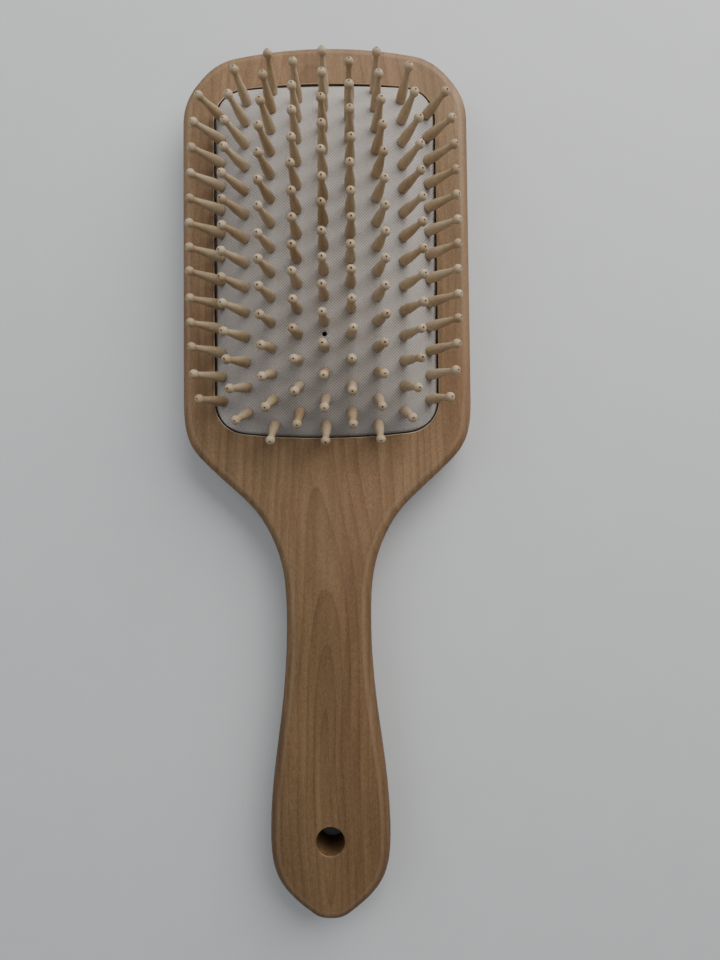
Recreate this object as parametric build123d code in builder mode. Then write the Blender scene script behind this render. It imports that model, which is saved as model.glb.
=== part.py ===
"""Paddle hairbrush: a wooden paddle, a domed rubber cushion faced with cloth, and turned wooden pins.

The brush lies on its back. Z = 0 is the flat back, +Z points along the pins, +Y points to the
head's free end, and the origin is under the middle of the 250 mm length. Millimetres.
"""

from build123d import *
from random import Random
import os

# Paddle
LENGTH = 250.0
HALF_WIDTH = 41.5
NECK_HALF = 12.1
GRIP_HALF = 16.95
THICKNESS = 13.0
EDGE_ROUND = 2.8
HANG_HOLE_R = 4.0
HANG_HOLE_CHAMFER = 0.25
HANG_HOLE_FROM_END = 22.0

# Points of the paddle's right-hand outline, from the head's free end to the handle's end
CROWN_END = (26.0, 122.4)
CORNER_MIDDLE = (36.6, 115.6)
SIDE_TOP = 103.0
SIDE_BOTTOM = 22.0
SHOULDER_MIDDLE = (38.9, 8.0)
SHOULDER_END = (31.2, -0.3)
SHOULDER_SLOPE = (-1, -0.95)
NECK_UPPER = (20.6, -10.6)
NECK_MIDDLE = (14.4, -22.4)
NECK_Y = -43.0
GRIP_MIDDLE = (14.0, -70.0)
GRIP_Y = -101.0
END_FLANK = (13.2, -116.3)
END_NOSE = (5.6, -123.25)

# Pocket and the undercut groove that holds the cushion's lip
OPENING_HALF_WIDTH = 32.05
OPENING_HALF_LENGTH = 51.6
OPENING_Y = 61.85
OPENING_ARCH = 2.4
OPENING_CORNER_R = 9.4
OPENING_CHAMFER = 0.15
POCKET_FLOOR = 5.0
GROOVE_DEPTH = 1.9
GROOVE_BOTTOM = 9.8
GROOVE_TOP = 11.6

# Cushion
RIM_GAP = 0.45
RIM_Z = 12.3
DOME_HALF_WIDTH = 31.2
DOME_HALF_LENGTH = 50.7
DOME_HEIGHT = 9.7
DOME_POWER_X = 3.4
DOME_POWER_Y = 4.0
DOME_FLAT_Y = 0.25
DOME_MARGIN = 2.4
DOME_STEPS_X = 24
DOME_STEPS_Y = 34
CLOTH = 0.5
GLUE = 0.03
RUBBER = 1.5
SKIRT = 1.0
LIP_BOTTOM = 10.0
LIP_TOP = 11.4
LIP_OUT = 1.6
VENT_R = 0.7
VENT_ROWS = -3.5

# Pins
PITCH_X = 7.35
PITCH_Y = 6.87
PIN_HOLE_R = 1.2
PIN_HOLE_LENGTH = 12.0
NECK_R = 1.15
SHOULDER_R = 1.45
SHOULDER_ROUND = 0.35
SHOULDER_LIFT = 0.05
SHANK_STRAIGHT = 1.8
WAIST_R = 0.84
WAIST_Z = 9.2
WAIST_SLOPE = -0.04
BALL_Z = 11.0
BALL_R = 1.3
PIT_R = 0.33
PIT_POINT_R = 0.12
PIT_DEPTH = 0.7
FOOT_R = 1.95
FOOT_TOP = -2.35
FOOT_BOTTOM = -3.45
FOOT_ROUND = 0.45
UNEVEN = 0.014
UNEVEN_SEED = 4

# Pins in a column, by the column's distance from the middle one, and how a column is parted
COLUMN_LAST = 4
ROWS = (15, 14, 15, 14, 13)
ROWS_WITH_END_PINS = 15
RUNS = {13: (3, 2, 3, 2, 3), 14: (3, 3, 2, 3, 3)}
RUN_LETTERS = "abcde"

HEAD_TOP = LENGTH / 2
FIELD_Y = HEAD_TOP - 62.75
HANG_HOLE_Y = HANG_HOLE_FROM_END - LENGTH / 2
CROWN_Z = RIM_Z + DOME_HEIGHT

os.makedirs("parts", exist_ok=True)


def half_share(reach, half, power, flat):
    """Height share of the dome, 1 on the centre line and 0 at the rim, and its slope."""
    u = abs(reach) / half
    share = 1 - flat * u**2 - (1 - flat) * u**power
    slope = -(2 * flat * u + (1 - flat) * power * u ** (power - 1)) / half
    return share, slope if reach >= 0 else -slope


def dome_at(x, y):
    """Point of the cloth's outer face over (x, y), and the outward normal there."""
    px, sx = half_share(x, DOME_HALF_WIDTH, DOME_POWER_X, 0.0)
    py, sy = half_share(y - FIELD_Y, DOME_HALF_LENGTH, DOME_POWER_Y, DOME_FLAT_Y)
    point = Vector(x, y, RIM_Z + DOME_HEIGHT * px * py)
    return point, Vector(-DOME_HEIGHT * sx * py, -DOME_HEIGHT * px * sy, 1).normalized()


def dome_face(depth):
    """Smooth face that lies a given depth inside the cloth's outer face."""
    half_x = DOME_HALF_WIDTH + DOME_MARGIN
    half_y = DOME_HALF_LENGTH + DOME_MARGIN
    grid = []
    for i in range(DOME_STEPS_X + 1):
        line = []
        for j in range(DOME_STEPS_Y + 1):
            x = half_x * (2 * i / DOME_STEPS_X - 1)
            y = FIELD_Y + half_y * (2 * j / DOME_STEPS_Y - 1)
            point, normal = dome_at(x, y)
            line.append(point - normal * depth)
        grid.append(line)
    return Face.make_surface_from_array_of_points(grid)


def opening_sketch(grow=0.0):
    """Rounded, slightly arched rectangle of the pocket's mouth, grown by an offset."""
    corner_y = OPENING_HALF_LENGTH - OPENING_ARCH
    right_top = (OPENING_HALF_WIDTH, corner_y)
    left_top = (-OPENING_HALF_WIDTH, corner_y)
    right_bottom = (OPENING_HALF_WIDTH, -corner_y)
    left_bottom = (-OPENING_HALF_WIDTH, -corner_y)
    with BuildSketch(Plane((0, OPENING_Y, 0))) as mouth:
        with BuildLine():
            ThreePointArc(left_top, (0, OPENING_HALF_LENGTH), right_top)
            Line(right_top, right_bottom)
            ThreePointArc(right_bottom, (0, -OPENING_HALF_LENGTH), left_bottom)
            Line(left_bottom, left_top)
        make_face()
        fillet(mouth.vertices(), OPENING_CORNER_R)
        if grow:
            offset(amount=grow, mode=Mode.REPLACE)
    return mouth.sketch


def prism(sketch, bottom, top):
    """Upright block between two heights on a sketch."""
    return extrude(Pos(0, 0, bottom) * sketch, amount=top - bottom)


def under_dome(sketch, depth):
    """Block on a sketch, from the lip's underside up to the dome face at a depth."""
    below = extrude(dome_face(depth), amount=2 * CROWN_Z, dir=(0, 0, -1))
    return prism(sketch, LIP_BOTTOM, CROWN_Z + RUBBER) & below


def pin_places():
    """Column, foot point and axis of every pin, column by column from the left."""
    uneven = Random(UNEVEN_SEED)
    places = []
    for column in range(-COLUMN_LAST, COLUMN_LAST + 1):
        rows = ROWS[abs(column)]
        for row in range(rows):
            y = FIELD_Y + (rows - 1 - 2 * row) * PITCH_Y / 2
            point, normal = dome_at(column * PITCH_X, y)
            lean = Vector(uneven.gauss(0, UNEVEN), uneven.gauss(0, UNEVEN), 0)
            places.append((column, point, (normal + lean).normalized()))
    return places


def pin_groups(places):
    """Names each run of neighbouring pins in a column, and each lone pin at a column's end."""
    groups = {}
    for column in range(-COLUMN_LAST, COLUMN_LAST + 1):
        line = [place for place in places if place[0] == column]
        number = column + COLUMN_LAST + 1
        if len(line) == ROWS_WITH_END_PINS:
            groups[f"pin_c{number}_top"] = line[:1]
            groups[f"pin_c{number}_bottom"] = line[-1:]
            line = line[1:-1]
        for letter, count in zip(RUN_LETTERS, RUNS[len(line)]):
            groups[f"pins_c{number}_{letter}"] = line[:count]
            line = line[count:]
    return groups


def on_axis(shape, point, axis):
    """Copy of an upright shape, set on a point along an axis."""
    return Plane(origin=point, z_dir=axis) * shape


PLACES = pin_places()

# Wooden paddle: one outline, rounded over, with the pocket, its groove and the hanging hole
with BuildPart() as paddle_body:
    with BuildSketch():
        with BuildLine() as edge:
            crown = TangentArc((0, HEAD_TOP), CROWN_END, tangent=(1, 0))
            corner = Spline(
                [crown @ 1, CORNER_MIDDLE, (HALF_WIDTH, SIDE_TOP)],
                tangents=[crown % 1, (0, -1)],
            )
            side = Line(corner @ 1, (HALF_WIDTH, SIDE_BOTTOM))
            shoulder = Spline(
                [side @ 1, SHOULDER_MIDDLE, SHOULDER_END],
                tangents=[(0, -1), SHOULDER_SLOPE],
            )
            neck = Spline(
                [shoulder @ 1, NECK_UPPER, NECK_MIDDLE, (NECK_HALF, NECK_Y)],
                tangents=[shoulder % 1, (0, -1)],
            )
            grip = Spline(
                [neck @ 1, GRIP_MIDDLE, (GRIP_HALF, GRIP_Y)],
                tangents=[(0, -1), (0, -1)],
            )
            Spline(
                [grip @ 1, END_FLANK, END_NOSE, (0, -LENGTH / 2)],
                tangents=[(0, -1), (-1, 0)],
            )
            mirror(edge.line, about=Plane.YZ)
        make_face()
    extrude(amount=THICKNESS)
    rims = paddle_body.edges().group_by(Axis.Z)
    fillet(rims[0] + rims[-1], EDGE_ROUND)
    with BuildSketch():
        with Locations((0, HANG_HOLE_Y)):
            Circle(HANG_HOLE_R)
    extrude(amount=THICKNESS, mode=Mode.SUBTRACT)
    mouths = paddle_body.edges(Select.LAST).filter_by(GeomType.CIRCLE)
    chamfer(mouths, HANG_HOLE_CHAMFER)
    with BuildSketch(Plane.XY.offset(POCKET_FLOOR)):
        add(opening_sketch())
    extrude(amount=THICKNESS - POCKET_FLOOR, mode=Mode.SUBTRACT)
    face_holes = paddle_body.faces().filter_by(Axis.Z).sort_by(Axis.Z)[-1].inner_wires()
    chamfer(face_holes.sort_by(Axis.Y)[-1].edges(), OPENING_CHAMFER)
    with BuildSketch(Plane.XY.offset(GROOVE_BOTTOM)):
        add(opening_sketch(GROOVE_DEPTH))
    extrude(amount=GROOVE_TOP - GROOVE_BOTTOM, mode=Mode.SUBTRACT)
paddle_body.part.label = "paddle_body"
export_step(paddle_body.part, "parts/paddle_body.step")

cushion_plan = opening_sketch(-RIM_GAP)
drill = Cylinder(PIN_HOLE_R, PIN_HOLE_LENGTH)
hole_tools = [on_axis(drill, point, axis) for _, point, axis in PLACES]
vent_drill = Cylinder(VENT_R, PIN_HOLE_LENGTH)
hole_tools.append(Pos(0, FIELD_Y + VENT_ROWS * PITCH_Y, CROWN_Z) * vent_drill)

# Rubber cushion: an even domed wall, a skirt down to the lip, and the lip in the groove
cushion_solid = under_dome(cushion_plan, CLOTH + GLUE)
air_space = under_dome(opening_sketch(-RIM_GAP - SKIRT), CLOTH + GLUE + RUBBER)
lip_block = prism(opening_sketch(LIP_OUT), LIP_BOTTOM, LIP_TOP)
lip_solid = lip_block - prism(cushion_plan, LIP_BOTTOM, LIP_TOP)
with BuildPart() as cushion_rubber:
    add(cushion_solid)
    add(lip_solid)
    add(air_space, mode=Mode.SUBTRACT)
    add(hole_tools, mode=Mode.SUBTRACT)
cushion_rubber.part.label = "cushion_rubber"
export_step(cushion_rubber.part, "parts/cushion_rubber.step")

# Cloth facing bonded over the rubber
cloth_block = under_dome(cushion_plan, 0.0)
cloth_core = under_dome(cushion_plan, CLOTH)
with BuildPart() as cushion_cloth:
    add(cloth_block)
    add(cloth_core, mode=Mode.SUBTRACT)
    add(hole_tools, mode=Mode.SUBTRACT)
cushion_cloth.part.label = "cushion_cloth"
export_step(cushion_cloth.part, "parts/cushion_cloth.step")

# One turned pin, standing on Z = 0 with its foot below the cushion
with BuildPart() as pin:
    with BuildSketch(Plane.XZ):
        with BuildLine():
            Polyline(
                (0, BALL_Z),
                (0, FOOT_BOTTOM),
                (FOOT_R - FOOT_ROUND, FOOT_BOTTOM),
                (FOOT_R, FOOT_BOTTOM + FOOT_ROUND),
                (FOOT_R, FOOT_TOP),
                (NECK_R, FOOT_TOP),
                (NECK_R, SHOULDER_LIFT),
                (SHOULDER_R - SHOULDER_ROUND, SHOULDER_LIFT),
            )
            lower = RadiusArc(
                (SHOULDER_R - SHOULDER_ROUND, SHOULDER_LIFT),
                (SHOULDER_R, SHOULDER_LIFT + SHOULDER_ROUND),
                -SHOULDER_ROUND,
            )
            straight = Line(lower @ 1, (SHOULDER_R, SHANK_STRAIGHT))
            taper = Spline(straight @ 1, (WAIST_R, WAIST_Z), tangents=[(0, 1), (WAIST_SLOPE, 1)])
            Polyline(taper @ 1, (WAIST_R, BALL_Z), (0, BALL_Z))
        make_face()
    revolve(axis=Axis.Z)
    with Locations((0, 0, BALL_Z)):
        Sphere(BALL_R)
    with Locations((0, 0, BALL_Z + BALL_R - PIT_DEPTH / 2)):
        Cone(PIT_POINT_R, PIT_R, PIT_DEPTH, mode=Mode.SUBTRACT)

for name, members in pin_groups(PLACES).items():
    with BuildPart() as pins:
        add([on_axis(pin.part, point, axis) for _, point, axis in members])
    pins.part.label = name
    export_step(pins.part, f"parts/{name}.step")
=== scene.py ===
"""Paddle hairbrush: lacquered wooden paddle, cloth-faced air cushion and turned wooden pins."""

from math import copysign, exp, radians, sqrt, tau

import bmesh
import bpy
from bpy.props import FloatProperty, FloatVectorProperty, IntProperty, PointerProperty
from mathutils import Euler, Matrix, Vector


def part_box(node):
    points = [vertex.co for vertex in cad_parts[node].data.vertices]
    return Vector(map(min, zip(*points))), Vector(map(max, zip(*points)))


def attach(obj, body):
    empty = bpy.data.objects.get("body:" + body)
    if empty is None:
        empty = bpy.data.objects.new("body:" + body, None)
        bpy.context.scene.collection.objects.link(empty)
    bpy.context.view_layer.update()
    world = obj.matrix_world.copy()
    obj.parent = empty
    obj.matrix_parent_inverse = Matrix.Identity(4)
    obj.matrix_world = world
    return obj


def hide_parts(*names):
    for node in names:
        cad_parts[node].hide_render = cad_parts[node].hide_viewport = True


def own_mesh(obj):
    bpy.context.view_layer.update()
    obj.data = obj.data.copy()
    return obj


bl_info = {
    "name": "Paddle Hairbrush",
    "version": (1, 0, 0),
    "blender": (4, 5, 0),
    "location": "View3D > Sidebar > Brush",
    "description": "Builds a wooden paddle hairbrush with a cloth-faced cushion and turned pins",
    "category": "Add Mesh",
}

MM = 0.001

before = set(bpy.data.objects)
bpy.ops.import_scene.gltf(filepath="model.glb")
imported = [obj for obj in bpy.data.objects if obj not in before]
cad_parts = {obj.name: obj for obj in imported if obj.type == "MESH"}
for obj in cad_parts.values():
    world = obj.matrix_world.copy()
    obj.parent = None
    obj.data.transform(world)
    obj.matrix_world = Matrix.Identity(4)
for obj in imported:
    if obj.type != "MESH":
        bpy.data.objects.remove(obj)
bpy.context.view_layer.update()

# The cushion's place in plan, read from its CAD solids
CLOTH_LOW, CLOTH_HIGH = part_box("cushion_cloth")
RUBBER_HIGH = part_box("cushion_rubber")[1]
PLAN = (CLOTH_LOW + CLOTH_HIGH) / 2
HALF_X = (CLOTH_HIGH.x - CLOTH_LOW.x) / 2
HALF_Y = (CLOTH_HIGH.y - CLOTH_LOW.y) / 2
CROWN_Z = CLOTH_HIGH.z
END_ARCH = 2.4 * MM
CORNER_R = 8.95 * MM

# The dome that the pins stand square to
DOME_Y = 62.25 * MM
DOME_HALF_X = 31.2 * MM
DOME_HALF_Y = 50.7 * MM
DOME_HEIGHT = 9.7 * MM
DOME_POWER_X = 3.4
DOME_POWER_Y = 4.0
DOME_FLAT_Y = 0.25

# The pins' pattern
PITCH_X = 7.35 * MM
PITCH_Y = 6.87 * MM
ROWS = (15, 14, 15, 14, 13)
LAST_COLUMN = 4

# The vent hole, counted in rows from the middle of the field
VENT_ROWS = -3.5
VENT_R = 0.7 * MM
VENT_PLACE = Vector((0.0, DOME_Y + VENT_ROWS * PITCH_Y))

# Heights at which the cushion ends in its groove
HEM_Z = 11.2 * MM
LIP_Z = 10.7 * MM

# How much longer the cloth is than its plan, over the dome and into the groove
ARC_STRETCH = 1.07

# Small distances of the cushion's making
BOND_GAP = 0.08 * MM
LIP_CLEARANCE = 0.3 * MM
LIP_WALL_SHARE = 0.5
DIMPLE_REACH = 3.0 * MM
DIMPLE_SPREAD = 1.7 * MM
MERGE_DISTANCE = 0.001 * MM

# Tints that a finish is multiplied by, and colours that it is mixed with
BLUSH_TINT = (1.0, 0.86, 0.90, 1.0)
PORE_TINT = (0.60, 0.54, 0.48, 1.0)
FUZZ_TINT = (0.50, 0.46, 0.42, 1.0)
HANDLE_END_TINT = (0.72, 0.71, 0.68, 1.0)
# Tint of the painted shade on the paddle's rounded edges and sides
SIDE_SHADE_TINT = (0.60, 0.52, 0.46, 1.0)
# Colour of the painted highlight along the paddle's arrises
ARRIS_HIGHLIGHT_COLOR = (0.52, 0.40, 0.28, 1.0)
# Colour of the painted highlight on the bevel round the cushion's opening
LIP_HIGHLIGHT_COLOR = (0.66, 0.54, 0.42, 1.0)
PIN_PORE_TINT = (0.70, 0.62, 0.52, 1.0)
SLUB_TINT = (0.80, 0.77, 0.78, 1.0)
SOIL_TINT = (0.90, 0.86, 0.80, 1.0)
BLOOM_COLOR = (0.50, 0.48, 0.45, 1.0)

# Where the handle begins to darken towards its end, and where it is darkest
HANDLE_DARK_FROM = -5 * MM
HANDLE_DARK_TO = -45 * MM

# The stage: table, lamps (place, size, power, colour), room and camera
TABLE_LIGHT = (0.66, 0.67, 0.68, 1.0)
TABLE_DARK = (0.63, 0.64, 0.65, 1.0)
TABLE_HALF = 2.5
TABLE_DROP = 0.15 * MM
WINDOW_LIGHT = ((0.34, 0.52, 0.42), 0.75, 7.6, (1.0, 0.985, 0.96))
LEFT_LIGHT = ((-0.55, 0.30, 0.60), 0.70, 2.0, (0.94, 0.97, 1.0))
ROOM_COLOR = (0.86, 0.89, 0.92, 1.0)
ROOM_STRENGTH = 0.24
CAMERA_PLACE = (10.6 * MM, -8.5 * MM, 210.0 * MM)
CAMERA_TURN = (0.034, 0.007, -0.0103)
SENSOR_HEIGHT_MM = 24.0
LENS_MM = 17.33


class BrushSettings(bpy.types.PropertyGroup):
    """Sizes and colours of the brush's finishes"""

    wood_light: FloatVectorProperty(
        name="Paddle light wood",
        description="Early wood of the paddle under its lacquer",
        subtype="COLOR",
        size=4,
        min=0.0,
        max=1.0,
        default=(0.352, 0.226, 0.120, 1.0),
    )
    wood_dark: FloatVectorProperty(
        name="Paddle dark wood",
        description="Late wood and streaks of the paddle",
        subtype="COLOR",
        size=4,
        min=0.0,
        max=1.0,
        default=(0.168, 0.098, 0.047, 1.0),
    )
    pin_light: FloatVectorProperty(
        name="Pin light wood",
        description="Most of the turned pins",
        subtype="COLOR",
        size=4,
        min=0.0,
        max=1.0,
        default=(0.500, 0.398, 0.270, 1.0),
    )
    pin_dark: FloatVectorProperty(
        name="Pin dark wood",
        description="Streaks, and the browner pins",
        subtype="COLOR",
        size=4,
        min=0.0,
        max=1.0,
        default=(0.330, 0.222, 0.120, 1.0),
    )
    cloth_light: FloatVectorProperty(
        name="Cloth thread",
        description="Raised threads of the cushion's cloth",
        subtype="COLOR",
        size=4,
        min=0.0,
        max=1.0,
        default=(0.545, 0.508, 0.472, 1.0),
    )
    cloth_dark: FloatVectorProperty(
        name="Cloth gap",
        description="Shaded gaps between the threads",
        subtype="COLOR",
        size=4,
        min=0.0,
        max=1.0,
        default=(0.215, 0.196, 0.190, 1.0),
    )
    rubber_color: FloatVectorProperty(
        name="Rubber",
        description="Moulded rubber of the cushion",
        subtype="COLOR",
        size=4,
        min=0.0,
        max=1.0,
        default=(0.360, 0.340, 0.310, 1.0),
    )
    ring_spacing: FloatProperty(
        name="Ring spacing",
        description="Distance between the paddle's growth rings",
        subtype="DISTANCE",
        unit="LENGTH",
        min=0.5 * MM,
        max=20.0 * MM,
        default=2.3 * MM,
    )
    thread_pitch: FloatProperty(
        name="Thread pitch",
        description="Distance between the cloth's threads",
        subtype="DISTANCE",
        unit="LENGTH",
        min=0.1 * MM,
        max=3.0 * MM,
        default=0.64 * MM,
    )
    cloth_thickness: FloatProperty(
        name="Cloth thickness",
        description="Thickness of the facing",
        subtype="DISTANCE",
        unit="LENGTH",
        min=0.1 * MM,
        max=1.0 * MM,
        default=0.4 * MM,
    )
    rubber_thickness: FloatProperty(
        name="Rubber thickness",
        description="Thickness of the cushion's wall",
        subtype="DISTANCE",
        unit="LENGTH",
        min=0.5 * MM,
        max=3.0 * MM,
        default=1.3 * MM,
    )
    dimple_depth: FloatProperty(
        name="Dimple depth",
        description="How far the cloth is pressed in round each pin",
        subtype="DISTANCE",
        unit="LENGTH",
        min=0.0,
        max=0.5 * MM,
        default=0.10 * MM,
    )
    cells_across: IntProperty(
        name="Cells across",
        description="Grid cells across the cushion",
        min=16,
        max=200,
        default=76,
    )


# ---------------------------------------------------------------- nodes


class Wiring:
    """Adds nodes to one tree, with their sockets set or linked by name."""

    def __init__(self, tree):
        self.tree = tree

    def add(self, kind, sockets=None, **settings):
        node = self.tree.nodes.new(kind)
        for key, value in settings.items():
            setattr(node, key, value)
        for key, value in (sockets or {}).items():
            self.put(node, key, value)
        return node

    def put(self, node, key, value):
        """Links a socket to one of a node's inputs, or sets the input to a plain value."""
        if isinstance(value, bpy.types.NodeSocket):
            self.tree.links.new(value, node.inputs[key])
        else:
            node.inputs[key].default_value = value

    def math(self, operation, first, second=0.0, clamp=False):
        sockets = {0: first, 1: second}
        return self.add("ShaderNodeMath", sockets, operation=operation, use_clamp=clamp).outputs[0]

    def range(self, value, low, high, to_low=0.0, to_high=1.0):
        sockets = {
            "Value": value,
            "From Min": low,
            "From Max": high,
            "To Min": to_low,
            "To Max": to_high,
        }
        return self.add("ShaderNodeMapRange", sockets).outputs[0]

    def tint(self, factor, color, amounts):
        return self.mix(factor, color, amounts, "MULTIPLY")

    def mix(self, factor, first, second, blend="MIX"):
        node = self.add("ShaderNodeMix", data_type="RGBA", blend_type=blend)
        for key, value in ((0, factor), (6, first), (7, second)):
            self.put(node, key, value)
        return node.outputs[2]

    def noise(self, vector, scale, detail=2.0, roughness=0.5, distortion=0.0):
        sockets = {
            "Vector": vector,
            "Scale": scale,
            "Detail": detail,
            "Roughness": roughness,
            "Distortion": distortion,
        }
        return self.add("ShaderNodeTexNoise", sockets).outputs["Fac"]

    def stretch(self, vector, amounts):
        return self.add("ShaderNodeMapping", {"Vector": vector, "Scale": amounts}).outputs[0]

    def vector(self, operation, first, second):
        sockets = {0: first, 1: second}
        return self.add("ShaderNodeVectorMath", sockets, operation=operation).outputs[0]

    def scaled(self, vector, amount):
        sockets = {0: vector, "Scale": amount}
        return self.add("ShaderNodeVectorMath", sockets, operation="SCALE").outputs[0]


def open_group(name, inputs, outputs):
    """New node group with named inputs and outputs, its wiring and its two end nodes."""
    group = bpy.data.node_groups.new(name, "ShaderNodeTree")
    for label, kind, value in inputs:
        socket = group.interface.new_socket(label, in_out="INPUT", socket_type=kind)
        if value is not None:
            socket.default_value = value
    for label, kind in outputs:
        group.interface.new_socket(label, in_out="OUTPUT", socket_type=kind)
    wires = Wiring(group)
    return group, wires, wires.add("NodeGroupInput"), wires.add("NodeGroupOutput")


def grain_group():
    """Wood that grows along the vector's Y: growth rings, streaks and pores, each from 0 to 1."""
    name = "wood_grain"
    if name in bpy.data.node_groups:
        return bpy.data.node_groups[name]
    inputs = (
        ("Vector", "NodeSocketVector", None),
        ("Ring Spacing", "NodeSocketFloat", 3 * MM),
        ("Heart Depth", "NodeSocketFloat", 30 * MM),
        ("Heart Slope", "NodeSocketFloat", 0.1),
        ("Wander", "NodeSocketFloat", 6 * MM),
        ("Streak Width", "NodeSocketFloat", 4 * MM),
        ("Pore Width", "NodeSocketFloat", 0.5 * MM),
    )
    outputs = [(label, "NodeSocketFloat") for label in ("Rings", "Streaks", "Pores")]
    group, wires, start, end = open_group(name, inputs, outputs)
    place = start.outputs["Vector"]
    wide = wires.stretch(place, (28.0, 7.0, 28.0))
    bend = wires.add("ShaderNodeTexNoise", {"Vector": wide, "Scale": 1.0, "Detail": 2.0})
    centred = wires.vector("SUBTRACT", bend.outputs["Color"], (0.5, 0.5, 0.5))
    moved = wires.vector("ADD", place, wires.scaled(centred, start.outputs["Wander"]))
    axes = wires.add("ShaderNodeSeparateXYZ", {0: moved})
    rise = wires.math("MULTIPLY", axes.outputs["Y"], start.outputs["Heart Slope"])
    depth = wires.math("ADD", axes.outputs["Z"], start.outputs["Heart Depth"])
    depth = wires.math("ADD", depth, rise)
    from_heart = wires.add("ShaderNodeCombineXYZ", {"X": axes.outputs["X"], "Y": depth})
    radius = wires.add("ShaderNodeVectorMath", {0: from_heart.outputs[0]}, operation="LENGTH")
    turns = wires.math("DIVIDE", radius.outputs["Value"], start.outputs["Ring Spacing"])
    late_wood = wires.math("POWER", wires.math("FRACT", turns), 3.0)
    wires.tree.links.new(late_wood, end.inputs["Rings"])
    fibres = (("Streaks", "Streak Width", 0.045, 5.0), ("Pores", "Pore Width", 0.22, 3.0))
    for output, width, shortness, detail in fibres:
        across = wires.math("DIVIDE", 1.0, start.outputs[width])
        along = wires.math("MULTIPLY", across, shortness)
        scale = wires.add("ShaderNodeCombineXYZ", {"X": across, "Y": along, "Z": across})
        drawn = wires.vector("MULTIPLY", moved, scale.outputs[0])
        wires.tree.links.new(wires.noise(drawn, 1.0, detail, 0.55), end.inputs[output])
    return group


def weave_group():
    """Plain weave on a flat vector in metres: a mask of the gaps between its threads."""
    inputs = (("Vector", "NodeSocketVector", None), ("Pitch", "NodeSocketFloat", 0.5 * MM))
    group, wires, start, end = open_group("plain_weave", inputs, (("Gaps", "NodeSocketFloat"),))
    turn = {"Vector": start.outputs["Vector"], "Rotation": (0, 0, radians(43))}
    turned = wires.add("ShaderNodeMapping", turn).outputs[0]
    wobble = wires.add("ShaderNodeTexNoise", {"Vector": turned, "Scale": 260.0, "Detail": 1.0})
    place = wires.vector("ADD", turned, wires.scaled(wobble.outputs["Color"], 0.25 * MM))
    axes = wires.add("ShaderNodeSeparateXYZ", {0: place})
    threads = []
    for axis in ("X", "Y"):
        turns = wires.math("DIVIDE", axes.outputs[axis], start.outputs["Pitch"])
        wave = wires.math("SINE", wires.math("MULTIPLY", turns, tau))
        threads.append(wires.math("ABSOLUTE", wave))
    low = wires.math("MINIMUM", *threads)
    wires.tree.links.new(wires.range(low, 0.0, 0.62, 1.0, 0.0), end.inputs["Gaps"])
    return group


def place_group(wires, group, sockets):
    """A node group in a material, with its inputs set or linked."""
    node = wires.add("ShaderNodeGroup", node_tree=group)
    for key, value in sockets.items():
        wires.put(node, key, value)
    return node


def open_material(name):
    """Empty node material: its wiring, its shader and its coordinates."""
    material = bpy.data.materials.new(name)
    material.use_nodes = True
    material.node_tree.nodes.clear()
    wires = Wiring(material.node_tree)
    shader = wires.add("ShaderNodeBsdfPrincipled")
    wires.add("ShaderNodeOutputMaterial", {"Surface": shader.outputs[0]})
    return material, wires, shader, wires.add("ShaderNodeTexCoord")


def set_bump(wires, shader, height, distance, strength=1.0):
    bump = wires.add("ShaderNodeBump", {"Height": height, "Distance": distance, "Strength": strength})
    wires.tree.links.new(bump.outputs[0], shader.inputs["Normal"])


def lip_highlight_mask(wires, axes, rise):
    """Mask of the narrow bevel round the cushion's opening, where a highlight is painted."""
    from_middle = wires.math("ABSOLUTE", wires.math("SUBTRACT", axes.outputs["Y"], PLAN.y))
    spans = ((wires.math("ABSOLUTE", axes.outputs["X"]), HALF_X), (from_middle, HALF_Y))
    mask = wires.math("MULTIPLY", wires.range(rise, 0.95, 0.85), wires.range(rise, 0.3, 0.5))
    for distance, half in spans:
        near = wires.range(distance, half + 2 * MM, half + 3 * MM, 1.0, 0.0)
        mask = wires.math("MULTIPLY", mask, near)
    return mask


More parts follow.
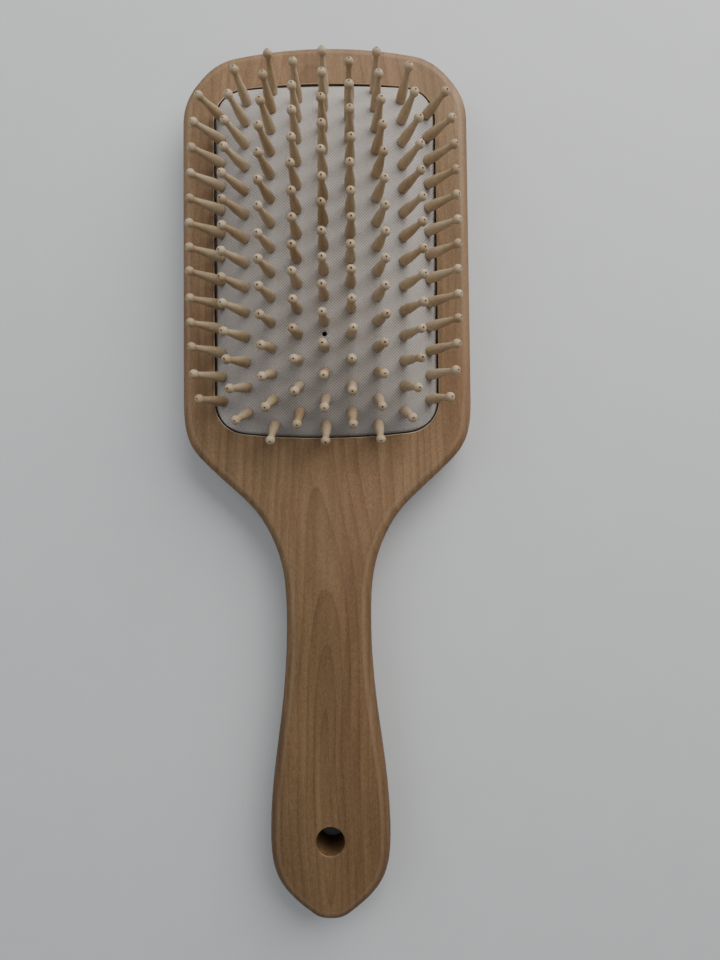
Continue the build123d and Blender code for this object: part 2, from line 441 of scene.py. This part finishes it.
def paddle_material(settings):
    """Light-brown board: nested arches, streaks, fuzzy pores, darker towards the handle's end, painted shade
    on the rounded sides, painted highlights along the arrises and round the opening, and a satin lacquer.
    """
    material, wires, shader, coords = open_material("paddle_lacquered_wood")
    place = coords.outputs["Object"]
    grain = place_group(
        wires,
        grain_group(),
        {
            "Vector": place,
            "Ring Spacing": settings.ring_spacing,
            "Heart Depth": -2 * MM,
            "Heart Slope": 0.10,
            "Wander": 17 * MM,
            "Streak Width": 3.0 * MM,
            "Pore Width": 0.30 * MM,
        },
    )
    wide = wires.stretch(place, (95.0, 13.0, 95.0))
    bands = wires.range(wires.noise(wide, 1.0, 3.0, 0.55, 1.1), 0.40, 0.68)
    streaks = wires.range(grain.outputs["Streaks"], 0.36, 0.70)
    rings = wires.math("MULTIPLY", grain.outputs["Rings"], wires.range(bands, 0.0, 1.0, 0.42, 0.14))
    figure = wires.math("ADD", wires.math("MULTIPLY", streaks, 0.44), wires.math("MULTIPLY", bands, 0.38))
    figure = wires.math("ADD", figure, rings, clamp=True)
    color = wires.mix(figure, settings.wood_light, settings.wood_dark)
    blush = wires.noise(wires.stretch(place, (45.0, 16.0, 45.0)), 1.0, 2.0)
    color = wires.tint(wires.range(blush, 0.42, 0.66, 0.0, 0.55), color, BLUSH_TINT)
    pores = wires.range(grain.outputs["Pores"], 0.36, 0.66)
    color = wires.tint(wires.math("MULTIPLY", pores, 0.42), color, PORE_TINT)
    fuzz = wires.range(wires.noise(place, 2100.0, 2.0), 0.34, 0.66, 0.0, 0.36)
    color = wires.tint(fuzz, color, FUZZ_TINT)
    axes = wires.add("ShaderNodeSeparateXYZ", {0: place})
    # Darker towards the handle's end
    toward_handle_end = wires.range(axes.outputs["Y"], HANDLE_DARK_FROM, HANDLE_DARK_TO)
    color = wires.tint(toward_handle_end, color, HANDLE_END_TINT)
    facing = wires.add("ShaderNodeSeparateXYZ", {0: coords.outputs["Normal"]})
    rise = wires.math("ABSOLUTE", facing.outputs["Z"])
    # Painted shade: the rounded edges and sides darker the more they turn away from the top
    sides = wires.range(rise, 0.90, 0.35, 0.0, 0.55)
    color = wires.tint(sides, color, SIDE_SHADE_TINT)
    # Painted highlight: a thin lighter line where the flat top turns into the rounded edge
    arris_highlight = wires.math("MULTIPLY", wires.range(rise, 0.999, 0.985), wires.range(rise, 0.90, 0.965))
    color = wires.mix(wires.math("MULTIPLY", arris_highlight, 0.10), color, ARRIS_HIGHLIGHT_COLOR)
    # Painted highlight on the bevel round the cushion's opening
    lip = wires.math("MULTIPLY", lip_highlight_mask(wires, axes, rise), 0.85)
    color = wires.mix(lip, color, LIP_HIGHLIGHT_COLOR)
    wires.tree.links.new(color, shader.inputs["Base Color"])
    dull = wires.noise(place, 420.0, 3.0)
    wires.tree.links.new(wires.range(dull, 0.3, 0.7, 0.46, 0.58), shader.inputs["Roughness"])
    shader.inputs["Specular IOR Level"].default_value = 0.22
    shader.inputs["Coat Weight"].default_value = 0.08
    shader.inputs["Coat Roughness"].default_value = 0.40
    relief = wires.math("ADD", wires.math("MULTIPLY", pores, -0.7), wires.math("MULTIPLY", figure, -0.3))
    set_bump(wires, shader, relief, 0.05 * MM, 0.6)
    return material


def pin_material(settings):
    """Pale turned wood, each pin a little different from its neighbours."""
    material, wires, shader, coords = open_material("turned_pin_wood")
    place = coords.outputs["Object"]
    upright = wires.add("ShaderNodeMapping", {"Vector": place, "Rotation": (radians(90), 0, 0)})
    grain = place_group(
        wires,
        grain_group(),
        {
            "Vector": upright.outputs[0],
            "Ring Spacing": 0.9 * MM,
            "Heart Depth": 20 * MM,
            "Heart Slope": 0.02,
            "Wander": 2 * MM,
            "Streak Width": 0.8 * MM,
            "Pore Width": 0.18 * MM,
        },
    )
    lot = wires.noise(wires.stretch(place, (150.0, 170.0, 18.0)), 1.0, 1.0)
    browner = wires.range(lot, 0.42, 0.75, 0.0, 0.75)
    streaks = wires.range(grain.outputs["Streaks"], 0.35, 0.7, 0.0, 0.45)
    tone = wires.math("ADD", browner, streaks, clamp=True)
    color = wires.mix(tone, settings.pin_light, settings.pin_dark)
    pores = wires.range(grain.outputs["Pores"], 0.4, 0.7, 0.0, 0.25)
    color = wires.tint(pores, color, PIN_PORE_TINT)
    wires.tree.links.new(color, shader.inputs["Base Color"])
    roughness = wires.range(grain.outputs["Pores"], 0.3, 0.7, 0.50, 0.64)
    wires.tree.links.new(roughness, shader.inputs["Roughness"])
    set_bump(wires, shader, grain.outputs["Pores"], 0.03 * MM, 0.6)
    return material


def cloth_material(settings):
    """Fine grey-white plain weave, lit softly at its fibres."""
    material, wires, shader, coords = open_material("cushion_weave")
    flat = coords.outputs["UV"]
    pitch = settings.thread_pitch * 2
    gaps = place_group(wires, weave_group(), {"Vector": flat, "Pitch": pitch}).outputs["Gaps"]
    slub = wires.noise(flat, 900.0, 3.0)
    color = wires.mix(wires.math("MULTIPLY", gaps, 0.85), settings.cloth_light, settings.cloth_dark)
    color = wires.tint(wires.range(slub, 0.35, 0.7, 0.0, 0.35), color, SLUB_TINT)
    soil = wires.noise(coords.outputs["Object"], 38.0, 2.0)
    color = wires.tint(wires.range(soil, 0.4, 0.75, 0.0, 0.35), color, SOIL_TINT)
    wires.tree.links.new(color, shader.inputs["Base Color"])
    wires.tree.links.new(wires.range(slub, 0.3, 0.7, 0.78, 0.95), shader.inputs["Roughness"])
    shader.inputs["Sheen Weight"].default_value = 0.12
    shader.inputs["Sheen Roughness"].default_value = 0.5
    height = wires.math("ADD", wires.math("MULTIPLY", gaps, -0.8), wires.math("MULTIPLY", slub, 0.25))
    set_bump(wires, shader, height, 0.10 * MM, 0.7)
    return material


def rubber_material(settings):
    """Moulded rubber, matt, with a faint bloom."""
    material, wires, shader, coords = open_material("cushion_moulded_rubber")
    bloom = wires.noise(coords.outputs["Object"], 160.0, 3.0)
    color = wires.mix(wires.range(bloom, 0.4, 0.7, 0.0, 0.4), settings.rubber_color, BLOOM_COLOR)
    wires.tree.links.new(color, shader.inputs["Base Color"])
    wires.tree.links.new(wires.range(bloom, 0.3, 0.7, 0.55, 0.75), shader.inputs["Roughness"])
    set_bump(wires, shader, wires.noise(coords.outputs["Object"], 2600.0, 2.0), 0.02 * MM)
    return material


def dress(node, material):
    """Gives a CAD node its finish."""
    for slot in node.material_slots:
        slot.material = material
    if not node.material_slots:
        node.data.materials.append(material)


# ---------------------------------------------------------------- the cushion


def pin_feet():
    """Where each pin stands on the cushion, in plan."""
    places = []
    for column in range(-LAST_COLUMN, LAST_COLUMN + 1):
        rows = ROWS[abs(column)]
        for row in range(rows):
            places.append(Vector((column * PITCH_X, DOME_Y + (rows - 1 - 2 * row) / 2 * PITCH_Y)))
    return places


def dome_top(x, y):
    """Height of the cloth's outer face."""
    u = abs(x) / DOME_HALF_X
    v = abs(y - DOME_Y) / DOME_HALF_Y
    across = 1 - u**DOME_POWER_X
    along = 1 - DOME_FLAT_Y * v**2 - (1 - DOME_FLAT_Y) * v**DOME_POWER_Y
    return CROWN_Z - DOME_HEIGHT + DOME_HEIGHT * across * along


def in_plan(u, v):
    """Place in the cushion's round-cornered, arch-ended plan of a point of a square from -1 to 1."""
    corner_x = HALF_X - CORNER_R
    side = HALF_Y - END_ARCH * (corner_x / HALF_X) ** 2
    x = abs(u) * HALF_X
    y = abs(v) * side
    p = (x - corner_x) / CORNER_R
    q = (y - side + CORNER_R) / CORNER_R
    if p > 0 and q > 0:
        x = corner_x + CORNER_R * p * sqrt(1 - q * q / 2)
        y = side - CORNER_R + CORNER_R * q * sqrt(1 - p * p / 2)
    if x < corner_x:
        swell = END_ARCH * (corner_x**2 - x**2) / HALF_X**2
    else:
        turn = (x - corner_x) / CORNER_R
        swell = -2 * END_ARCH * corner_x * CORNER_R / HALF_X**2 * turn * (1 - turn) ** 2
    return copysign(x, u), copysign(y * (1 + swell / side), v) + PLAN.y


def shape_dome(mesh, settings, dimples):
    """Fills a bmesh with the cushion's domed top, with its flat lay kept as UV, and a vent hole."""
    across = settings.cells_across
    bmesh.ops.create_grid(mesh, x_segments=across, y_segments=round(across * HALF_Y / HALF_X), size=1.0)
    lay = mesh.loops.layers.uv.new("flat_lay")
    for face in mesh.faces:
        for loop in face.loops:
            place = loop.vert.co
            loop[lay].uv = (place.x * HALF_X * ARC_STRETCH, place.y * HALF_Y * ARC_STRETCH)
    for vertex in mesh.verts:
        x, y = in_plan(vertex.co.x, vertex.co.y)
        vertex.co = (x, y, dome_top(x, y))
    open_vent(mesh)
    if dimples:
        press_dimples(mesh, settings.dimple_depth)


def open_vent(mesh):
    """Opens the small round air hole on the middle line."""
    nearest = min(mesh.verts, key=lambda v: (v.co.xy - VENT_PLACE).length)
    ring = {v for face in nearest.link_faces for v in face.verts} - {nearest}
    bmesh.ops.delete(mesh, geom=[nearest], context="VERTS")
    for vertex in ring:
        vertex.co.xy = VENT_PLACE + (vertex.co.xy - VENT_PLACE).normalized() * VENT_R


def press_dimples(mesh, depth):
    """Presses the cloth in a little round each pin's shoulder."""
    feet = pin_feet()
    for vertex in mesh.verts:
        for foot in feet:
            gap = (vertex.co.xy - foot).length
            if gap < DIMPLE_REACH:
                vertex.co.z -= depth * exp(-((gap / DIMPLE_SPREAD) ** 4))


def rim_edges(mesh):
    """The outer border's edges, without the vent's."""
    border = [e for e in mesh.edges if e.is_boundary]
    return [e for e in border if (e.verts[0].co.xy - VENT_PLACE).length > 3 * VENT_R]


def draw_down(mesh, edges, height, out=0.0):
    """Extrudes a border to a height, moved out from the cushion's middle, and gives the new border."""
    made = bmesh.ops.extrude_edge_only(mesh, edges=edges)["geom"]
    for vertex in (g for g in made if isinstance(g, bmesh.types.BMVert)):
        vertex.co.z = height
        vertex.co.x *= 1 + out / HALF_X
        vertex.co.y = PLAN.y + (vertex.co.y - PLAN.y) * (1 + out / HALF_Y)
    return [g for g in made if isinstance(g, bmesh.types.BMEdge)]


def finish_piece(name, mesh, material, wall):
    """Turns a bmesh into an object with one material and a wall behind its outer face."""
    bmesh.ops.remove_doubles(mesh, verts=mesh.verts, dist=MERGE_DISTANCE)
    bmesh.ops.recalc_face_normals(mesh, faces=mesh.faces)
    top = max(mesh.faces, key=lambda f: f.calc_center_median().z)
    if top.normal.z < 0:
        bmesh.ops.reverse_faces(mesh, faces=mesh.faces)
    for face in mesh.faces:
        face.smooth = True
    data = bpy.data.meshes.new(name)
    mesh.to_mesh(data)
    mesh.free()
    piece = bpy.data.objects.new(name, data)
    bpy.context.scene.collection.objects.link(piece)
    data.materials.append(material)
    if wall:
        modifier = piece.modifiers.new("wall", "SOLIDIFY")
        modifier.thickness = wall
        modifier.offset = -1.0
        modifier.use_even_offset = True
    return piece


def apply_modifiers(piece):
    """Makes a piece's modifiers part of its mesh."""
    graph = bpy.context.evaluated_depsgraph_get()
    data = bpy.data.meshes.new_from_object(piece.evaluated_get(graph))
    piece.modifiers.clear()
    piece.data = data


def settle(piece):
    """Makes the cushion's wall part of its mesh, hangs it on the paddle's body and gives it a mesh of its
    own.
    """
    apply_modifiers(piece)
    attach(piece, "paddle")
    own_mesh(piece)


class HAIRBRUSH_OT_paddle(bpy.types.Operator):
    """Finishes the wooden paddle"""

    bl_idname = "hairbrush.paddle"
    bl_label = "Finish paddle"

    def execute(self, context):
        dress(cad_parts["paddle_body"], paddle_material(context.scene.paddle_brush))
        return {"FINISHED"}


class HAIRBRUSH_OT_pins(bpy.types.Operator):
    """Finishes every turned pin"""

    bl_idname = "hairbrush.pins"
    bl_label = "Finish pins"

    def execute(self, context):
        material = pin_material(context.scene.paddle_brush)
        for name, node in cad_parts.items():
            if name.startswith("pin"):
                dress(node, material)
        return {"FINISHED"}


class HAIRBRUSH_OT_rubber(bpy.types.Operator):
    """Makes the rubber cushion with its skirt and lip"""

    bl_idname = "hairbrush.rubber"
    bl_label = "Make rubber cushion"

    def execute(self, context):
        settings = context.scene.paddle_brush
        mesh = bmesh.new()
        shape_dome(mesh, settings, dimples=False)
        bmesh.ops.recalc_face_normals(mesh, faces=mesh.faces)
        under = settings.cloth_thickness + BOND_GAP
        for vertex, normal in [(v, v.normal.copy()) for v in mesh.verts]:
            vertex.co -= normal * under * (1 if normal.z > 0 else -1)
        border = draw_down(mesh, rim_edges(mesh), LIP_Z)
        draw_down(mesh, border, LIP_Z, RUBBER_HIGH.x - HALF_X - LIP_CLEARANCE)
        wall = settings.rubber_thickness * LIP_WALL_SHARE
        piece = finish_piece("rubber_cushion", mesh, rubber_material(settings), wall)
        settle(piece)
        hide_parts("cushion_rubber")
        return {"FINISHED"}


class HAIRBRUSH_OT_cloth(bpy.types.Operator):
    """Makes the cloth facing over the cushion"""

    bl_idname = "hairbrush.cloth"
    bl_label = "Make cloth facing"

    def execute(self, context):
        settings = context.scene.paddle_brush
        mesh = bmesh.new()
        shape_dome(mesh, settings, dimples=True)
        draw_down(mesh, rim_edges(mesh), HEM_Z)
        wall = settings.cloth_thickness
        piece = finish_piece("cloth_facing", mesh, cloth_material(settings), wall)
        settle(piece)
        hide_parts("cushion_cloth")
        return {"FINISHED"}


class HAIRBRUSH_OT_stage(bpy.types.Operator):
    """Sets the floor, the lights and the camera"""

    bl_idname = "hairbrush.stage"
    bl_label = "Set stage"

    def execute(self, context):
        lay_floor()
        hang_lights(context.scene)
        aim_camera(context.scene)
        return {"FINISHED"}


def lay_floor():
    """A pale matt table under the brush."""
    mesh = bmesh.new()
    bmesh.ops.create_grid(mesh, x_segments=8, y_segments=8, size=TABLE_HALF)
    bmesh.ops.translate(mesh, verts=mesh.verts, vec=(0, 0, -TABLE_DROP))
    material, wires, shader, coords = open_material("pale_table")
    speck = wires.noise(coords.outputs["Object"], 90.0, 3.0)
    color = wires.mix(wires.range(speck, 0.35, 0.7, 0.0, 0.4), TABLE_LIGHT, TABLE_DARK)
    wires.tree.links.new(color, shader.inputs["Base Color"])
    shader.inputs["Roughness"].default_value = 0.7
    finish_piece("table_top", mesh, material, 0.0)


def hang_lights(scene):
    """One soft light over the head's right side, a weak one from the left, and a dim pale room."""
    world = bpy.data.worlds.new("pale_room")
    world.use_nodes = True
    background = world.node_tree.nodes["Background"]
    background.inputs["Color"].default_value = ROOM_COLOR
    background.inputs["Strength"].default_value = ROOM_STRENGTH
    scene.world = world
    for name, lamp_values in (("window_light", WINDOW_LIGHT), ("left_light", LEFT_LIGHT)):
        place, size, power, color = lamp_values
        lamp = bpy.data.lights.new(name, "AREA")
        lamp.size = size
        lamp.energy = power
        lamp.color = color
        holder = bpy.data.objects.new(name, lamp)
        holder.location = place
        holder.rotation_euler = (-Vector(place)).to_track_quat("-Z", "Y").to_euler()
        scene.collection.objects.link(holder)


def aim_camera(scene):
    """Looks straight down on the brush from a hand's height above it."""
    camera = bpy.data.cameras.new("overhead_camera")
    camera.sensor_fit = "VERTICAL"
    camera.sensor_height = SENSOR_HEIGHT_MM
    camera.lens = LENS_MM
    camera.clip_start = 10 * MM
    camera.dof.use_dof = False
    holder = bpy.data.objects.new("overhead_camera", camera)
    holder.location = CAMERA_PLACE
    holder.rotation_euler = Euler(CAMERA_TURN)
    scene.collection.objects.link(holder)
    scene.camera = holder


class HAIRBRUSH_PT_panel(bpy.types.Panel):
    """Lists the brush's pieces and finishes"""

    bl_label = "Paddle Hairbrush"
    bl_idname = "HAIRBRUSH_PT_panel"
    bl_space_type = "VIEW_3D"
    bl_region_type = "UI"
    bl_category = "Brush"

    def draw(self, context):
        settings = context.scene.paddle_brush
        for name in settings.bl_rna.properties.keys():
            if name not in ("rna_type", "name"):
                self.layout.prop(settings, name)
        for step in STEPS:
            self.layout.operator(step.bl_idname)


STEPS = (HAIRBRUSH_OT_paddle, HAIRBRUSH_OT_pins, HAIRBRUSH_OT_rubber, HAIRBRUSH_OT_cloth, HAIRBRUSH_OT_stage)
CLASSES = (BrushSettings, *STEPS, HAIRBRUSH_PT_panel)


def register():
    for cls in CLASSES:
        bpy.utils.register_class(cls)
    bpy.types.Scene.paddle_brush = PointerProperty(type=BrushSettings)


def unregister():
    del bpy.types.Scene.paddle_brush
    for cls in reversed(CLASSES):
        bpy.utils.unregister_class(cls)


def main():
    register()
    bpy.ops.hairbrush.paddle()
    bpy.ops.hairbrush.pins()
    bpy.ops.hairbrush.rubber()
    bpy.ops.hairbrush.cloth()
    bpy.ops.hairbrush.stage()


if __name__ == "__main__":
    main()
